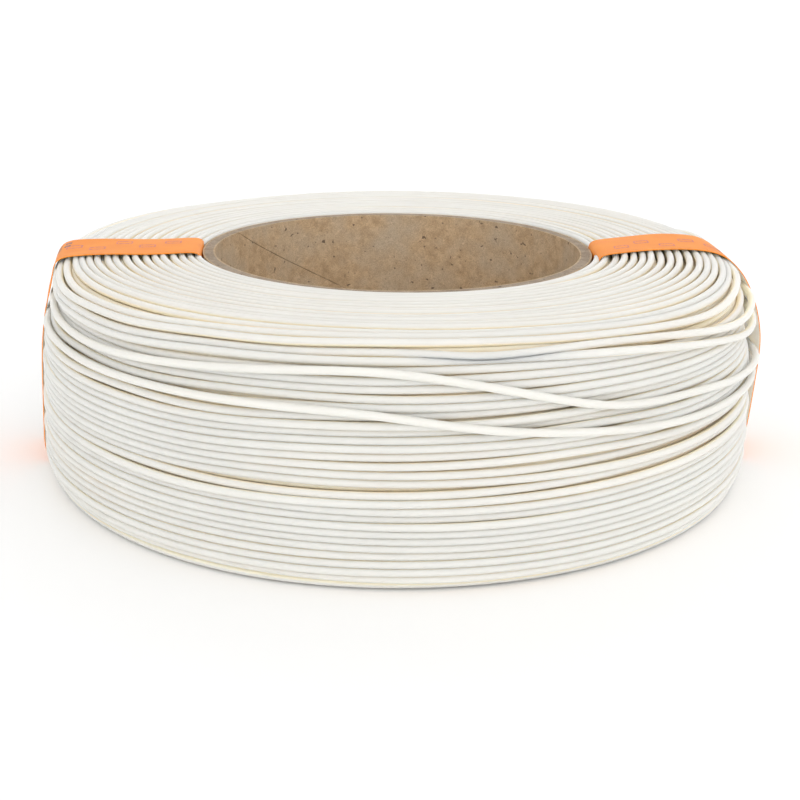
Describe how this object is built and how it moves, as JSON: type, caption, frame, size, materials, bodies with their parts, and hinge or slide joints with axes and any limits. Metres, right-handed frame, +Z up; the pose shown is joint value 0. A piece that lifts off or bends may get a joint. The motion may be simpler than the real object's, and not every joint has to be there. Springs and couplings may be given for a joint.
{
  "type": "filament refill coil",
  "caption": "Spool-less coil of 3-D printing filament wound on a spiral-wound cardboard core and tied across its faces with flat bands.",
  "frame": {"origin": "on the axis of the core, at the face that the coil lies on", "axes": "+Z up along the core's axis; the bands cross the winding on its -X and +X sides; -Y is the front, where the loose turns drop"},
  "size_m": [0.1972, 0.196, 0.058],
  "materials": {
    "filament": "satin natural white polymer strand",
    "kraft_board": "matte brown kraft paper",
    "grey_board": "matte recycled board, fibrous where cut",
    "band_film": "satin fluorescent orange film"
  },
  "bodies": {
    "root": {"core_ply_1": "kraft_board", "core_ply_2": "grey_board", "core_ply_3": "grey_board", "core_ply_4": "grey_board", "core_ply_5": "grey_board", "core_ply_6": "grey_board", "core_ply_7": "kraft_board", "left_band": "band_film", "right_band": "band_film", "filament_winding": "filament", "filament_last_turn": "filament", "filament_turn_before_last": "filament"}
  },
  "joints": []
}
